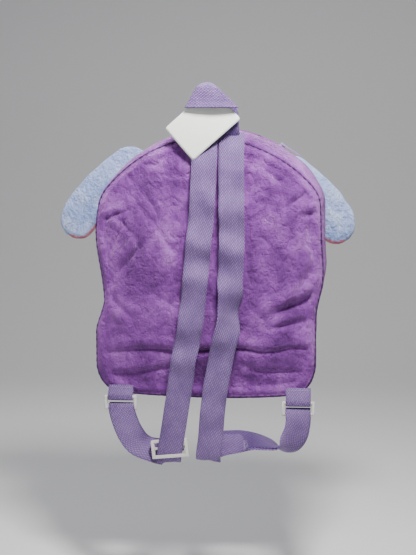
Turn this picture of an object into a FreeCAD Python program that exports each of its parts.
import FreeCAD, Part
import math
import os
import Sketcher

# Plush backpack for a small child, hung by its grab loop.
# X runs to the wearer's right hand side of the back panel, Y from the back panel to the face, Z up.
# The origin is the inside of the grab loop's fold, where a hook or peg carries the bag.

Vector = FreeCAD.Vector
Rotation = FreeCAD.Rotation
Placement = FreeCAD.Placement

doc = FreeCAD.newDocument("PlushBackpack")
sheet = doc.addObject("Spreadsheet::Sheet", "Sizes")

DRIVING_SIZES = [
    # the bag's outline: a dome, two shoulders, straight sides and round bottom corners
    ("bag_width", 224.0),
    ("bag_bottom", -307.0),
    ("dome_radius", 128.0),
    ("dome_centre", -169.0),
    ("dome_angle", 55.0),
    ("corner_radius", 28.0),
    # layers from the back panel to the face
    ("back_face", 2.0),
    ("panel_thick", 2.0),
    ("foam_thick", 4.0),
    ("lining_thick", 0.6),
    ("gusset_thick", 3.0),
    ("gusset_front", 79.0),
    ("fit_gap", 0.3),
    # the zipped mouth over the top
    ("mouth_angle", 34.0),
    ("zip_middle", 56.0),
    ("zip_gap", 1.4),
    ("tooth_width", 1.0),
    ("tape_width", 14.0),
    ("teeth_angle", 29.5),
    ("slider_angle", 31.8),
    ("slider_half_angle", 2.0),
    ("slider_width", 9.0),
    ("teeth_radius", 126.0),
    ("tooth_height", 2.4),
    ("pin_radius", 0.55),
    # webbing and its fittings
    ("webbing_width", 25.0),
    ("webbing_thick", 1.4),
    ("strap_face", -12.0),
    ("strap_start", -108.0),
    ("lift_gap", 1.8),
    ("ring_wire", 3.4),
    ("rail_width", 3.0),
    ("bar_thick", 2.4),
    # ears
    ("ear_root", 40.0),
    ("ear_tip", 19.0),
    ("ear_back", 83.5),
    ("ear_skin", 3.0),
    ("ear_fill", 7.0),
    # grab loop and swing tag
    ("loop_face", -2.0),
    ("loop_front", -14.0),
    ("loop_foot", -40.0),
    ("tag_width", 42.0),
    ("tag_length", 62.0),
    ("tag_thick", 0.4),
    ("tag_face", -8.2),
    # face pieces
    ("eye_radius", 8.0),
    ("nose_radius", 9.0),
]

for row, (alias, value) in enumerate(DRIVING_SIZES, start=1):
    sheet.set("A%d" % row, alias)
    sheet.set("B%d" % row, str(value))
    sheet.setAlias("B%d" % row, alias)
doc.recompute()


def size(alias):
    """The value of one driving size."""
    return float(getattr(sheet, alias))


HALF_WIDTH = size("bag_width") / 2
DOME_TURN = math.radians(90 - size("dome_angle"))
SHOULDER = (HALF_WIDTH - size("dome_radius") * math.cos(DOME_TURN)) / (1 - math.cos(DOME_TURN))
MOUTH_HEIGHT = size("dome_centre") + size("dome_radius") * math.cos(math.radians(size("mouth_angle")))
WEBBING_HALF = size("webbing_width") / 2

nodes = {}


def keep(item, label):
    """Give a sub-part its label and list it for writing."""
    item.Label = label
    nodes[label] = item
    return item


# ---------------------------------------------------------------- sketches

def new_sketch(body, name, role):
    """A sketch on one of the body's own origin planes."""
    sketch = body.newObject("Sketcher::SketchObject", name)
    plane = [item for item in body.Origin.OriginFeatures if item.Role == role][0]
    sketch.AttachmentSupport = (plane, "")
    sketch.MapMode = "FlatFace"
    return sketch


def constrain(sketch, kind, *values, bound=None):
    """Add one constraint, and tie it to the sheet when an expression is given."""
    index = sketch.addConstraint(Sketcher.Constraint(kind, *values))
    if bound is not None:
        sketch.setExpression("Constraints[%d]" % index, bound)
    return index


def add_line(sketch, start, end):
    """A straight line between two points."""
    return sketch.addGeometry(Part.LineSegment(Vector(start[0], start[1], 0), Vector(end[0], end[1], 0)))


def add_arc(sketch, centre, radius, first, last):
    """An anticlockwise arc between two angles in degrees."""
    circle = Part.Circle(Vector(centre[0], centre[1], 0), Vector(0, 0, 1), radius)
    return sketch.addGeometry(Part.ArcOfCircle(circle, math.radians(first), math.radians(last)))


def draw_arch(sketch, inset=0.0, inset_bound="0"):
    """The bag's outline, moved inwards by an inset, as tangent arcs and lines."""
    dome = size("dome_radius") - inset
    shoulder = SHOULDER - inset
    corner = size("corner_radius") - inset
    side = HALF_WIDTH - inset
    bottom = size("bag_bottom") + inset
    centre = size("dome_centre")
    reach = size("dome_radius") - SHOULDER
    shoulder_x = reach * math.cos(DOME_TURN)
    shoulder_z = centre + reach * math.sin(DOME_TURN)
    corner_x = HALF_WIDTH - size("corner_radius")
    corner_z = size("bag_bottom") + size("corner_radius")
    turn = math.degrees(DOME_TURN)
    parts = [
        add_arc(sketch, (0, centre), dome, turn, 180 - turn),
        add_arc(sketch, (-shoulder_x, shoulder_z), shoulder, 180 - turn, 180),
        add_line(sketch, (-side, shoulder_z), (-side, corner_z)),
        add_arc(sketch, (-corner_x, corner_z), corner, 180, 270),
        add_line(sketch, (-corner_x, bottom), (corner_x, bottom)),
        add_arc(sketch, (corner_x, corner_z), corner, 270, 360),
        add_line(sketch, (side, corner_z), (side, shoulder_z)),
        add_arc(sketch, (shoulder_x, shoulder_z), shoulder, 0, turn),
    ]
    for index, part in enumerate(parts):
        following = parts[(index + 1) % len(parts)]
        constrain(sketch, "Tangent", part, 2, following, 1)
    dome_arc, left_shoulder, left_side, left_corner, base, right_corner, right_side, right_shoulder = parts
    constrain(sketch, "Vertical", left_side)
    constrain(sketch, "Vertical", right_side)
    constrain(sketch, "PointOnObject", dome_arc, 3, -2)
    constrain(sketch, "DistanceY", dome_arc, 3, -1, 1, -centre, bound="-Sizes.dome_centre")
    constrain(sketch, "Radius", dome_arc, dome, bound="Sizes.dome_radius - (%s)" % inset_bound)
    constrain(sketch, "Equal", left_shoulder, right_shoulder)
    constrain(sketch, "Equal", left_corner, right_corner)
    constrain(sketch, "Radius", left_corner, corner, bound="Sizes.corner_radius - (%s)" % inset_bound)
    side_bound = "Sizes.bag_width / 2 - (%s)" % inset_bound
    constrain(sketch, "DistanceX", left_side, 1, -1, 1, side, bound=side_bound)
    constrain(sketch, "DistanceX", -1, 1, right_side, 1, side, bound=side_bound)
    constrain(sketch, "DistanceY", base, 1, -1, 1, -bottom, bound="-Sizes.bag_bottom - (%s)" % inset_bound)
    half_dome = dome * math.cos(DOME_TURN)
    constrain(sketch, "DistanceX", -1, 1, dome_arc, 1, half_dome,
              bound="(Sizes.dome_radius - (%s)) * sin(Sizes.dome_angle * 1deg)" % inset_bound)


def draw_sector(sketch, outer, inner, outer_bound, inner_bound, half_angle, angle_bound):
    """A piece of ring about the dome's centre, between two radii, centred on the top."""
    first = 90 - half_angle
    last = 90 + half_angle
    centre = (0, size("dome_centre"))

    def at(radius, angle):
        return (radius * math.cos(math.radians(angle)), centre[1] + radius * math.sin(math.radians(angle)))

    outside = add_arc(sketch, centre, outer, first, last)
    inside = add_arc(sketch, centre, inner, first, last)
    left = add_line(sketch, at(outer, last), at(inner, last))
    right = add_line(sketch, at(inner, first), at(outer, first))
    constrain(sketch, "Coincident", outside, 2, left, 1)
    constrain(sketch, "Coincident", left, 2, inside, 2)
    constrain(sketch, "Coincident", inside, 1, right, 1)
    constrain(sketch, "Coincident", right, 2, outside, 1)
    constrain(sketch, "Coincident", outside, 3, inside, 3)
    constrain(sketch, "PointOnObject", outside, 3, -2)
    constrain(sketch, "DistanceY", outside, 3, -1, 1, -centre[1], bound="-Sizes.dome_centre")
    constrain(sketch, "Radius", outside, outer, bound=outer_bound)
    constrain(sketch, "Radius", inside, inner, bound=inner_bound)
    constrain(sketch, "PointOnObject", outside, 3, left)
    constrain(sketch, "PointOnObject", outside, 3, right)
    reach = outer * math.cos(math.radians(first))
    reach_bound = "(%s) * sin((%s) * 1deg)" % (outer_bound, angle_bound)
    constrain(sketch, "DistanceX", -1, 1, right, 2, reach, bound=reach_bound)
    constrain(sketch, "DistanceX", left, 1, -1, 1, reach, bound=reach_bound)


def draw_polygon(sketch, points):
    """A closed outline of straight lines."""
    lines = []
    for index, point in enumerate(points):
        lines.append(add_line(sketch, point, points[(index + 1) % len(points)]))
    for index, line in enumerate(lines):
        constrain(sketch, "Coincident", line, 2, lines[(index + 1) % len(lines)], 1)
    return lines


def draw_rectangle(sketch, low, high, width_bound=None, height_bound=None):
    """An upright rectangle between two corners, its lower left corner fixed."""
    lines = draw_polygon(sketch, [low, (high[0], low[1]), high, (low[0], high[1])])
    constrain(sketch, "Horizontal", lines[0])
    constrain(sketch, "Vertical", lines[1])
    constrain(sketch, "Horizontal", lines[2])
    constrain(sketch, "Vertical", lines[3])
    constrain(sketch, "DistanceX", lines[0], 1, lines[0], 2, high[0] - low[0], bound=width_bound)
    constrain(sketch, "DistanceY", lines[1], 1, lines[1], 2, high[1] - low[1], bound=height_bound)
    return lines


def offset_band(points, half_width):
    """The two edges of a band along a centre line, joined into one outline with mitred bends."""
    left = []
    right = []
    for index, point in enumerate(points):
        before = points[max(index - 1, 0)]
        after = points[min(index + 1, len(points) - 1)]
        first = unit(before, point) if index else unit(point, after)
        second = unit(point, after) if index < len(points) - 1 else first
        normal = (-(first[1] + second[1]), first[0] + second[0])
        length = math.hypot(*normal)
        normal = (normal[0] / length, normal[1] / length)
        reach = half_width / (normal[0] * -first[1] + normal[1] * first[0])
        left.append((point[0] + normal[0] * reach, point[1] + normal[1] * reach))
        right.append((point[0] - normal[0] * reach, point[1] - normal[1] * reach))
    return left + right[::-1]


def unit(start, end):
    """The direction from one point to another, one unit long."""
    length = math.hypot(end[0] - start[0], end[1] - start[1])
    return ((end[0] - start[0]) / length, (end[1] - start[1]) / length)


# ---------------------------------------------------------------- features

def start_body(label):
    """An empty PartDesign body."""
    return doc.addObject("PartDesign::Body", label)


def pad(body, sketch, length_bound, reverse=True):
    """Pad a sketch; on the XZ plane the reversed pad runs towards +Y."""
    feature = body.newObject("PartDesign::Pad", body.Name + "Pad")
    feature.Profile = sketch
    feature.Reversed = reverse
    feature.setExpression("Length", length_bound)
    sketch.Visibility = False
    return feature


def plate(label, draw, start_bound, thick_bound):
    """A flat layer drawn in XZ, starting at a given Y and as thick as given."""
    body = start_body(label)
    sketch = new_sketch(body, label + "_outline", "XZ_Plane")
    draw(sketch)
    pad(body, sketch, thick_bound)
    body.setExpression("Placement.Base.y", start_bound)
    return body


def boolean(kind, label, base, tool):
    """A Part::Cut or Part::Common of two objects."""
    item = doc.addObject(kind, label)
    item.Base = base
    item.Tool = tool
    return item


def fuse(label, shapes):
    """Several solids joined into one."""
    item = doc.addObject("Part::MultiFuse", label)
    item.Shapes = shapes
    item.Refine = True
    return item


def block(name, low, high):
    """A plain box between two corners."""
    item = doc.addObject("Part::Box", name)
    item.Length = high[0] - low[0]
    item.Width = high[1] - low[1]
    item.Height = high[2] - low[2]
    item.Placement = Placement(Vector(*low), Rotation())
    return item


def rod(name, start, end, radius_bound):
    """A round rod between two points."""
    item = doc.addObject("Part::Cylinder", name)
    span = Vector(*end) - Vector(*start)
    item.setExpression("Radius", radius_bound)
    item.Height = span.Length
    item.Placement = Placement(Vector(*start), Rotation(Vector(0, 0, 1), span))
    return item


# ---------------------------------------------------------------- the bag's shell

PANEL_INSIDE = "Sizes.back_face + Sizes.panel_thick"
FOAM_INSIDE = PANEL_INSIDE + " + Sizes.foam_thick"
LINING_BOUND = "Sizes.gusset_thick + 0.8 + Sizes.lining_thick"
LINING_INSET = size("gusset_thick") + 0.8 + size("lining_thick")
FOAM_INSET = size("gusset_thick") + size("fit_gap")
CAP_SPAN = 150.0


def sector_bounds(outer_inset, inner_inset):
    """The two radii of a strip under the outline and the expressions that give them."""
    outer = size("dome_radius") - outer_inset
    inner = size("dome_radius") - inner_inset
    return outer, inner, "Sizes.dome_radius - %s" % outer_inset, "Sizes.dome_radius - %s" % inner_inset


def mouth_strip(label, outer_inset, inner_inset, angle, angle_bound, start_bound, thick_bound):
    """A strip of the mouth's ring, centred on the top."""
    outer, inner, outer_bound, inner_bound = sector_bounds(outer_inset, inner_inset)
    return plate(label, lambda sketch: draw_sector(sketch, outer, inner, outer_bound, inner_bound,
                                                   angle, angle_bound), start_bound, thick_bound)


def build_back():
    """The padded back panel: velour outside, foam between, lining inside."""
    keep(plate("back_panel", draw_arch, "Sizes.back_face", "Sizes.panel_thick"), "back_panel")
    foam_bound = "Sizes.gusset_thick + Sizes.fit_gap"
    keep(plate("back_foam", lambda sketch: draw_arch(sketch, FOAM_INSET, foam_bound),
               PANEL_INSIDE, "Sizes.foam_thick"), "back_foam")
    keep(plate("back_lining", lambda sketch: draw_arch(sketch, LINING_INSET, LINING_BOUND),
               FOAM_INSIDE, "Sizes.lining_thick"), "back_lining")


def build_gusset():
    """The side wall: a ring around the outline, open over the zipped mouth."""
    def ring(sketch):
        draw_arch(sketch)
        draw_arch(sketch, size("gusset_thick"), "Sizes.gusset_thick")

    def lining_ring(sketch):
        draw_arch(sketch, LINING_INSET - size("lining_thick"), "Sizes.gusset_thick + 0.8")
        draw_arch(sketch, LINING_INSET, LINING_BOUND)

    wedge = doc.addObject("Part::Cylinder", "mouth_wedge")
    wedge.Radius = CAP_SPAN
    wedge.setExpression("Height", "Sizes.gusset_front")
    wedge.setExpression("Angle", "2 * Sizes.mouth_angle * 1deg")
    turn = Rotation(Vector(1, 0, 0), -90).multiply(Rotation(Vector(0, 0, 1), -90 - size("mouth_angle")))
    wedge.Placement = Placement(Vector(0, 0, size("dome_centre")), turn)
    depth = "Sizes.gusset_front - (%s)" % PANEL_INSIDE
    whole = plate("whole_gusset", ring, PANEL_INSIDE, depth)
    keep(boolean("Part::Cut", "side_gusset", whole, wedge), "side_gusset")
    lining_depth = "Sizes.gusset_front - Sizes.foam_thick - Sizes.lining_thick - (%s)" % FOAM_INSIDE
    lining = plate("whole_lining", lining_ring, FOAM_INSIDE + " + Sizes.lining_thick",
                   lining_depth + " - Sizes.lining_thick")
    keep(boolean("Part::Cut", "gusset_lining", lining, wedge), "gusset_lining")
    thick = size("gusset_thick")
    keep(mouth_strip("top_gusset_rear", 0, thick, size("mouth_angle"), "Sizes.mouth_angle", PANEL_INSIDE,
                     "Sizes.zip_middle - 7 - (%s)" % PANEL_INSIDE), "top_gusset_rear")
    flap_angle = size("mouth_angle") - 0.2
    keep(mouth_strip("top_gusset_front", 0, thick, flap_angle, "Sizes.mouth_angle - 0.2",
                     "Sizes.zip_middle + 7", "Sizes.gusset_front - Sizes.fit_gap - Sizes.zip_middle - 7"),
         "top_gusset_front")


def build_front():
    """The face side, split at the height where the mouth's flap hinges."""
    gap = size("fit_gap")
    above = block("above_hinge", (-CAP_SPAN, 0, MOUTH_HEIGHT + gap), (CAP_SPAN, 200, 0))
    below = block("below_hinge", (-CAP_SPAN, 0, size("bag_bottom") - 10), (CAP_SPAN, 200, MOUTH_HEIGHT - gap))
    layers = [
        ("front_panel", 0.0, "0", "Sizes.gusset_front", "Sizes.gusset_thick"),
        ("front_foam", FOAM_INSET, "Sizes.gusset_thick + Sizes.fit_gap",
         "Sizes.gusset_front - Sizes.foam_thick", "Sizes.foam_thick"),
        ("front_lining", LINING_INSET, LINING_BOUND,
         "Sizes.gusset_front - Sizes.foam_thick - Sizes.lining_thick", "Sizes.lining_thick"),
    ]
    for label, inset, bound, start, thick in layers:
        for suffix, half in (("lower", below), ("upper", above)):
            whole = plate(label + "_" + suffix + "_whole",
                          lambda sketch: draw_arch(sketch, inset, bound), start, thick)
            keep(boolean("Part::Common", label + "_" + suffix, whole, half), label + "_" + suffix)


def build_zip():
    """Two tapes and two rows of teeth with a gap for the slider's neck, and the stops."""
    angle = size("teeth_angle")
    tooth_inset = size("dome_radius") - size("teeth_radius")
    tooth_root = tooth_inset + size("tooth_height")
    tape_inset = size("gusset_thick")
    tape_in = tape_inset + 0.8
    row = "(Sizes.zip_gap / 2)"
    keep(mouth_strip("zip_tape_rear", tape_inset, tape_in, size("mouth_angle"), "Sizes.mouth_angle",
                     "Sizes.zip_middle - %s - Sizes.tooth_width - Sizes.tape_width" % row,
                     "Sizes.tape_width"), "zip_tape_rear")
    keep(mouth_strip("zip_tape_front", tape_inset, tape_in, angle, "Sizes.teeth_angle",
                     "Sizes.zip_middle + %s + Sizes.tooth_width" % row, "Sizes.tape_width"), "zip_tape_front")
    keep(mouth_strip("zip_teeth_rear", tooth_inset, tooth_root, angle, "Sizes.teeth_angle",
                     "Sizes.zip_middle - %s - Sizes.tooth_width" % row, "Sizes.tooth_width"),
         "zip_teeth_rear")
    keep(mouth_strip("zip_teeth_front", tooth_inset, tooth_root, angle, "Sizes.teeth_angle",
                     "Sizes.zip_middle + %s" % row, "Sizes.tooth_width"), "zip_teeth_front")


def slider_piece(name, outer, inner, width, half_angle):
    """A slice of ring at the slider's place, across the zip."""
    body = start_body(name)
    sketch = new_sketch(body, name + "_outline", "XZ_Plane")
    centre = size("dome_centre")
    middle = 90 - size("slider_angle")
    first = middle - half_angle
    last = middle + half_angle

    def at(radius, angle):
        return (radius * math.cos(math.radians(angle)), centre + radius * math.sin(math.radians(angle)))

    draw_polygon(sketch, [at(inner, first), at(outer, first), at(outer, last), at(inner, last)])
    pad(body, sketch, str(width))
    body.setExpression("Placement.Base.y", "Sizes.zip_middle - %s / 2" % width)
    return body


def build_slider():
    """The zip slider: a plate over the teeth, one under them, a neck between and a bridge for the pull."""
    width = size("slider_width")
    half = size("slider_half_angle")
    top = size("teeth_radius")
    root = top - size("tooth_height")
    narrow = half * 0.6
    over = slider_piece("slider_over", top + 1.8, top + 0.3, width, half)
    under = slider_piece("slider_under", root - 0.9, root - 2.2, width, half)
    neck = slider_piece("slider_neck", top + 0.4, root - 1.0, 1.0, narrow)
    bridge = slider_piece("slider_bridge", top + 5.4, top + 1.7, 3.0, narrow)
    turn = math.radians(90 - size("slider_angle"))
    pin_radius = top + 3.8
    pin_x = pin_radius * math.cos(turn)
    pin_z = size("dome_centre") + pin_radius * math.sin(turn)
    middle = size("zip_middle")
    hole = rod("bridge_hole", (pin_x, middle - 4, pin_z), (pin_x, middle + 4, pin_z),
               "Sizes.pin_radius + 0.1")
    joined = fuse("slider_solid", [over, under, neck, bridge])
    keep(boolean("Part::Cut", "zip_slider", joined, hole), "zip_slider")

    pin = rod("pull_pin", (pin_x, middle - 3, pin_z), (pin_x, middle + 3, pin_z), "Sizes.pin_radius")
    tab = start_body("pull_tab")
    sketch = new_sketch(tab, "pull_tab_outline", "XY_Plane")
    arm = 2.0
    draw_polygon(sketch, [(-1.2, -3), (22, -3), (22, 3), (-1.2, 3),
                          (-1.2, arm), (4, arm), (4, -arm), (-1.2, -arm)])
    pad(tab, sketch, "Sizes.webbing_thick", reverse=False)
    tab.Placement = Placement(Vector(pin_x, middle, pin_z), Rotation(Vector(0, 1, 0), size("slider_angle")))
    tab.Placement.Base = tab.Placement.Base + tab.Placement.Rotation.multVec(Vector(0, 0, -0.5))
    keep(fuse("zip_pull", [tab, pin]), "zip_pull")


# ---------------------------------------------------------------- the face and ears

def build_face():
    """Two safety eyes with their washers, a stuffed muzzle and a nose."""
    face = size("gusset_front") + size("gusset_thick")
    for side, place in (("left", -1), ("right", 1)):
        dome = doc.addObject("Part::Sphere", "eye_ball_" + side)
        dome.setExpression("Radius", "Sizes.eye_radius")
        dome.Placement = Placement(Vector(place * 32, face - 3, -125), Rotation())
        outside = block("eye_zone_" + side, (place * 32 - 12, face, -140), (place * 32 + 12, face + 20, -110))
        keep(boolean("Part::Common", "eye_" + side, dome, outside), "eye_" + side)
    muzzle = doc.addObject("Part::Ellipsoid", "muzzle_whole")
    muzzle.Radius1 = 12
    muzzle.Radius2 = 34
    muzzle.Radius3 = 24
    muzzle.Placement = Placement(Vector(0, face, -172), Rotation(Vector(1, 0, 0), -90))
    muzzle_zone = block("muzzle_zone", (-50, face, -210), (50, face + 30, -130))
    solid = boolean("Part::Common", "muzzle_solid", muzzle, muzzle_zone)
    nose = doc.addObject("Part::Ellipsoid", "nose_whole")
    nose.Radius1 = 7
    nose.setExpression("Radius2", "Sizes.nose_radius")
    nose.setExpression("Radius3", "Sizes.nose_radius")
    nose.Placement = Placement(Vector(0, face + 12, -160), Rotation(Vector(1, 0, 0), -90))
    keep(boolean("Part::Cut", "nose", nose, solid), "nose")
    keep(solid, "muzzle")


EARS = {
    "left": (Vector(-78, 0, -68), Vector(-152, 0, -141)),
    "right": (Vector(59.6, 0, -77.7), Vector(125, 0, -144)),
}


def build_ears():
    """Each floppy ear: a velour back, a filling and a lined front, all with one outline."""
    layers = [
        ("shell", "0", "Sizes.ear_skin"),
        ("filling", "Sizes.ear_skin", "Sizes.ear_fill"),
        ("lining", "Sizes.ear_skin + Sizes.ear_fill", "Sizes.ear_skin"),
    ]
    for side, (root, tip) in EARS.items():
        run = tip - root
        slope = math.degrees(math.atan2(-run.x, -run.z))
        for layer, start, thick in layers:
            label = "ear_%s_%s" % (side, layer)
            body = start_body(label)
            sketch = new_sketch(body, label + "_outline", "XZ_Plane")
            half = size("ear_root") / 2
            reach = run.Length
            radius = size("ear_tip")
            tip_arc = add_arc(sketch, (0, -reach), radius, 180, 360)
            lines = [
                add_line(sketch, (radius, -reach), (half, 0)),
                add_line(sketch, (half, 0), (-half, 0)),
                add_line(sketch, (-half, 0), (-radius, -reach)),
            ]
            chain = [tip_arc] + lines
            for index, part in enumerate(chain):
                constrain(sketch, "Coincident", part, 2, chain[(index + 1) % 4], 1)
            constrain(sketch, "Horizontal", lines[1])
            constrain(sketch, "DistanceX", lines[1], 2, lines[1], 1, 2 * half, bound="Sizes.ear_root")
            constrain(sketch, "Radius", tip_arc, radius, bound="Sizes.ear_tip")
            pad(body, sketch, thick)
            turn = Rotation(Vector(0, 1, 0), slope)
            body.Placement = Placement(Vector(root.x, size("ear_back"), root.z), turn)
            body.setExpression("Placement.Base.y", "Sizes.ear_back + " + start)
            keep(body, label)


# ---------------------------------------------------------------- webbing

def band(label, points, face, thick_bound="Sizes.webbing_thick"):
    """Flat webbing face-on in XZ along a centre line, its outer face at a given Y."""
    body = start_body(label)
    sketch = new_sketch(body, label + "_outline", "XZ_Plane")
    draw_polygon(sketch, offset_band(points, WEBBING_HALF))
    pad(body, sketch, thick_bound)
    body.Placement.Base.y = face
    return body


def side_profile(label, points, low_x, thick):
    """Webbing seen from its edge: a line in YZ made as thick as the webbing and padded across X."""
    body = start_body(label)
    sketch = new_sketch(body, label + "_outline", "YZ_Plane")
    draw_polygon(sketch, offset_band(points, thick / 2))
    pad(body, sketch, "Sizes.webbing_width", reverse=False)
    body.Placement.Base.x = low_x
    return body


STRAPS = {
    "left": {
        "top": -7.0,
        "run": [(-8, -108), (-8, -120), (-12, -152), (-17, -212), (-23, -252), (-30, -292), (-42, -366)],
        "lower": [(-92, -326), (-87, -338), (-77, -357), (-60, -369), (-44, -372)],
        "ring": (-93, -318),
        "tab": -93.0,
    },
    "right": {
        "top": 19.5,
        "run": [(20, -108), (20, -120), (20.5, -152), (19, -192), (17, -232), (12.5, -262), (3, -302),
                (-2.5, -366)],
        "lower": [(86, -327), (82, -340), (70, -356), (52, -361), (27, -362)],
        "ring": (87, -321),
        "tab": 87.0,
    },
}
RETURN_FACE = -4.4
OUTGOING_FACE = -6.1
TAB_TOP = -308.0


def ring_frame(label, centre, wide, tall, wire, face, depth):
    """A flat rectangular ring with a see-through slot."""
    body = start_body(label)
    sketch = new_sketch(body, label + "_outline", "XZ_Plane")
    low = (centre[0] - wide / 2, centre[1] - tall / 2)
    high = (centre[0] + wide / 2, centre[1] + tall / 2)
    draw_rectangle(sketch, low, high)
    draw_rectangle(sketch, (low[0] + wire, low[1] + wire), (high[0] - wire, high[1] - wire))
    pad(body, sketch, str(depth))
    body.Placement.Base.y = face
    return body


def build_strap(side, layout):
    """One shoulder strap: sewn end, long run, doubled lower run, ring and tab."""
    thick = size("webbing_thick")
    top = layout["top"]
    middle = size("strap_face") + thick / 2
    slope = [(1.0, -47), (1.0, -56), (middle, -104), (middle, size("strap_start") + size("lift_gap"))]
    sewn_label = "strap_%s_sewn_end" % side
    keep(side_profile(sewn_label, slope, top - WEBBING_HALF, thick), sewn_label)
    keep(band("strap_%s_long_run" % side, layout["run"], size("strap_face")), "strap_%s_long_run" % side)
    keep(band("strap_%s_outgoing_run" % side, layout["lower"], OUTGOING_FACE), "strap_%s_outgoing_run" % side)
    keep(band("strap_%s_return_run" % side, layout["lower"], RETURN_FACE), "strap_%s_return_run" % side)
    ring = layout["ring"]
    wire = size("ring_wire")
    ring_wide = size("webbing_width") + 2 * wire + 1.6
    ring_face = RETURN_FACE + thick + 0.1
    keep(ring_frame("ring_" + side, ring, ring_wide, 15, wire, ring_face, 3.0), "ring_" + side)
    tab = band("tab_" + side, [(layout["tab"], TAB_TOP), (layout["tab"], ring[1] - 3)], ring_face + 3.1)
    keep(tab, "tab_" + side)
    sewn = band("tab_%s_sewn_end" % side, [(layout["tab"], -300), (layout["tab"], TAB_TOP + 0.3)],
                size("back_face") - thick - 0.1)
    keep(sewn, "tab_%s_sewn_end" % side)


def build_adjuster(side, layout, crossbar_in_front, tilt, twist):
    """A three-bar slide that rides up the long run, with the sewn webbing end folded on its middle bar.

    `tilt` turns it in the plane of the webbing and `twist` turns it edge-on about the webbing's length.
    """
    start = layout["run"][-2]
    end = layout["run"][-1]
    along = unit(start, end)
    turn = math.degrees(math.atan2(-along[0], -along[1])) - tilt
    half = WEBBING_HALF + 0.8 + tilt * 0.15
    rail = size("rail_width")
    behind = size("strap_face") + size("webbing_thick") + 0.3
    bar = size("bar_thick")
    front = size("strap_face") - 0.3 - bar
    pieces = []

    def piece(name, low, high):
        item = block("%s_%s" % (name, side), low, high)
        pieces.append(item)

    rail_front = front if crossbar_in_front else behind - 1.5
    for edge, name in ((-half - rail, "rail_low"), (half, "rail_high")):
        piece(name, (edge, rail_front, -9), (edge + rail, behind + bar, 9))
    reach = half + 0.5
    piece("bar_top", (-reach, behind, 6), (reach, behind + bar, 9))
    piece("bar_middle", (-reach, behind + 0.4, -1.2), (reach, behind + bar - 0.4, 1.2))
    bottom = front if crossbar_in_front else behind
    piece("bar_bottom", (-reach, bottom, -9), (reach, bottom + bar, -6))
    centre = Vector(end[0] - along[0] * 4, 0, end[1] - along[1] * 4)
    place = Placement(centre, Rotation(Vector(0, 1, 0), turn))
    if twist:
        middle = Vector(0, behind + bar / 2, 0)
        clear = Vector(0, (half + rail) * math.sin(math.radians(twist)) + 0.5, 0)
        spin = Placement(middle + clear, Rotation(Vector(0, 0, 1), twist))
        place = place.multiply(spin).multiply(Placement(-middle, Rotation()))
    for item in pieces:
        item.Placement = place.multiply(item.Placement)
    keep(fuse("adjuster_" + side, pieces), "adjuster_" + side)
    wrap = block("wrap_" + side, (-WEBBING_HALF + 1, behind + bar + 0.1, -3),
                 (WEBBING_HALF, behind + bar + 1.5, 3))
    wrap.Placement = place.multiply(wrap.Placement)
    keep(wrap, "adjuster_%s_webbing_end" % side)


# ---------------------------------------------------------------- grab loop and tag

def build_grab_loop():
    """Ribbon folded over at the top: two legs behind and a mitred front fold, sewn into the top seam."""
    thick = size("webbing_thick")
    back = size("loop_face")
    front = size("loop_front")
    foot = size("loop_foot")
    pieces = []
    for side, low_x in (("left", -27.0), ("right", 2.0)):
        stub = side_profile("loop_%s_sewn_end" % side,
                            [(back + thick / 2, -50), (back + thick / 2, foot - 0.3)], low_x, thick)
        keep(stub, "loop_%s_sewn_end" % side)
        middle = back + thick / 2
        leg = side_profile("loop_leg_" + side, [(middle, foot + 0.3), (middle, 1.4)], low_x, thick)
        pieces.append(leg)
    bridge = block("loop_bridge", (-27.0, front, 0.0), (27.0, back + thick, 1.4))
    body = start_body("loop_fold")
    sketch = new_sketch(body, "loop_fold_outline", "XZ_Plane")
    draw_polygon(sketch, [(-27, 1.4), (-27, -20), (-22, -22), (22, -22), (27, -20), (27, 1.4)])
    pad(body, sketch, "Sizes.webbing_thick")
    body.setExpression("Placement.Base.y", "Sizes.loop_front")
    keep(fuse("grab_loop", pieces + [bridge, body]), "grab_loop")


TAG_ORIGIN = Vector(-20.1, size("tag_face"), -19.4)
TAG_TURN = 41.1


def build_tag():
    """A blank card hanging by one corner inside the loop, and the plastic fastener through it."""
    card = start_body("hang_tag")
    sketch = new_sketch(card, "hang_tag_outline", "XZ_Plane")
    width = size("tag_width")
    draw_rectangle(sketch, (-size("tag_length") * 0.55, -width), (size("tag_length") * 0.45, 0),
                   "Sizes.tag_length", "Sizes.tag_width")
    pad(card, sketch, "Sizes.tag_thick")
    card.Placement = Placement(TAG_ORIGIN, Rotation(Vector(0, 1, 0), -TAG_TURN))
    keep(card, "hang_tag")
    pin = rod("tag_fastener", (0, size("loop_face") - 0.2, -20), (0, size("tag_face") + 0.45, -20),
              "Sizes.tag_thick")
    keep(pin, "tag_fastener")


# ---------------------------------------------------------------- build, check and write

build_back()
build_gusset()
build_front()
build_zip()
build_slider()
build_face()
build_ears()
for strap_side, strap_layout in STRAPS.items():
    build_strap(strap_side, strap_layout)
build_adjuster("left", STRAPS["left"], True, 15, 0)
build_adjuster("right", STRAPS["right"], False, 0, 50)
build_grab_loop()
build_tag()
doc.recompute()

for item in doc.Objects:
    if "Invalid" in item.State or "Error" in item.State:
        raise RuntimeError("%s did not build: %s" % (item.Name, item.State))
for label, item in nodes.items():
    if item.Shape.isNull() or not item.Shape.isValid() or len(item.Shape.Solids) != 1:
        raise RuntimeError("%s is not one valid solid" % label)

os.makedirs("parts", exist_ok=True)
for label, item in nodes.items():
    item.Shape.exportStep("parts/%s.step" % label)
print("wrote %d sub-parts" % len(nodes))
